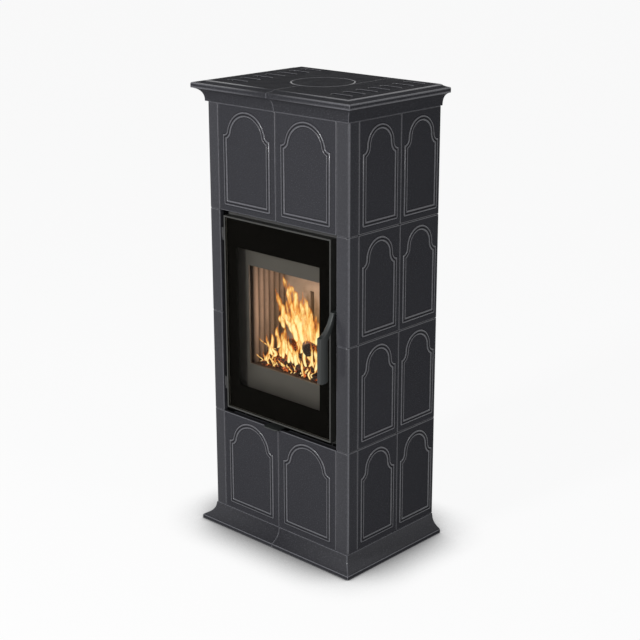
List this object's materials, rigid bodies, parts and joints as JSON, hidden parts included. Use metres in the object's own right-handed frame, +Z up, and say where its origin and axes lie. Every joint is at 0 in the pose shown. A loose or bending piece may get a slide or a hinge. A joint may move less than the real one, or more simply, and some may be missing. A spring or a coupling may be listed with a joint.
{
  "type": "tiled stove",
  "caption": "Tall free-standing wood stove clad in dark arched relief tiles, with a plinth, a coved crown, a glazed hinged fire door, an upright handle, an air lever and a round top cover.",
  "frame": {"origin": "on the floor, under the middle of the whole stove, flue end and door handle included", "axes": "+X to the stove's right as seen from the front, +Y towards the wall behind it, +Z up"},
  "size_m": [0.646, 0.518, 1.441],
  "materials": {
    "tile_glaze": "dark grey satin glaze with fine speckles",
    "black_steel": "matt black heat-proof paint",
    "grey_steel": "satin grey heat-proof paint",
    "raw_steel": "bare steel, dull",
    "door_glass": "clear ceramic glass",
    "glass_print": "black enamel print on the back of the pane",
    "fireclay": "pale matt firebox lining, smoked",
    "seal_rope": "braided mineral rope",
    "handle_iron": "satin dark grey",
    "fire_log": "charred bark and wood",
    "fire_ember": "glowing embers",
    "fire_flame": "flames"
  },
  "bodies": {
    "stove_body": {"plinth_left": "tile_glaze", "plinth_right": "tile_glaze", "corner_tile_left_1": "tile_glaze", "corner_tile_left_2": "tile_glaze", "corner_tile_left_3": "tile_glaze", "corner_tile_left_4": "tile_glaze", "corner_tile_right_1": "tile_glaze", "corner_tile_right_2": "tile_glaze", "corner_tile_right_3": "tile_glaze", "corner_tile_right_4": "tile_glaze", "front_tile_left_1": "tile_glaze", "front_tile_right_1": "tile_glaze", "front_tile_left_4": "tile_glaze", "front_tile_right_4": "tile_glaze", "side_tile_left_fore_1": "tile_glaze", "side_tile_left_fore_2": "tile_glaze", "side_tile_left_fore_3": "tile_glaze", "side_tile_left_fore_4": "tile_glaze", "side_tile_left_aft_1": "tile_glaze", "side_tile_left_aft_2": "tile_glaze", "side_tile_left_aft_3": "tile_glaze", "side_tile_left_aft_4": "tile_glaze", "side_tile_right_fore_1": "tile_glaze", "side_tile_right_fore_2": "tile_glaze", "side_tile_right_fore_3": "tile_glaze", "side_tile_right_fore_4": "tile_glaze", "side_tile_right_aft_1": "tile_glaze", "side_tile_right_aft_2": "tile_glaze", "side_tile_right_aft_3": "tile_glaze", "side_tile_right_aft_4": "tile_glaze", "crown_left": "tile_glaze", "crown_right": "tile_glaze", "base_plate": "black_steel", "foot_front_left": "raw_steel", "foot_front_right": "raw_steel", "foot_rear_left": "raw_steel", "foot_rear_right": "raw_steel", "stand_left": "black_steel", "stand_right": "black_steel", "air_port_plate": "black_steel", "rear_panel": "black_steel", "firebox_shell": "black_steel", "front_plate": "black_steel", "lining_left": "fireclay", "lining_right": "fireclay", "lining_rear": "fireclay", "hearth_slab": "fireclay", "baffle_plate": "fireclay", "flue_elbow": "raw_steel", "hinge_arm_lower": "black_steel", "hinge_arm_upper": "black_steel", "latch_strike": "black_steel"},
    "door": {"door_frame": "grey_steel", "door_glass": "door_glass", "door_seal": "seal_rope", "handle_pivot": "raw_steel"},
    "handle": {"door_handle": "handle_iron"},
    "air_slide": {"air_lever": "handle_iron"},
    "top_cover": {"round_cover": "tile_glaze"}
  },
  "joints": [
    {"name": "door_hinge", "type": "hinge", "parent": "stove_body", "child": "door", "pos_m": [-0.231, -0.192, 0.7], "axis": [0, 0, -1], "range_deg": [0, 100]},
    {"name": "handle_turn", "type": "hinge", "parent": "door", "child": "handle", "pos_m": [0.2314, -0.189, 0.812], "axis": [-1, 0, 0], "range_deg": [0, 25]},
    {"name": "air_slide", "type": "slide", "parent": "stove_body", "child": "air_slide", "axis": [1, 0, 0], "range_m": [-0.06, 0.06]},
    {"name": "cover_lift", "type": "slide", "parent": "stove_body", "child": "top_cover", "axis": [0, 0, 1], "range_m": [0, 0.08]}
  ]
}
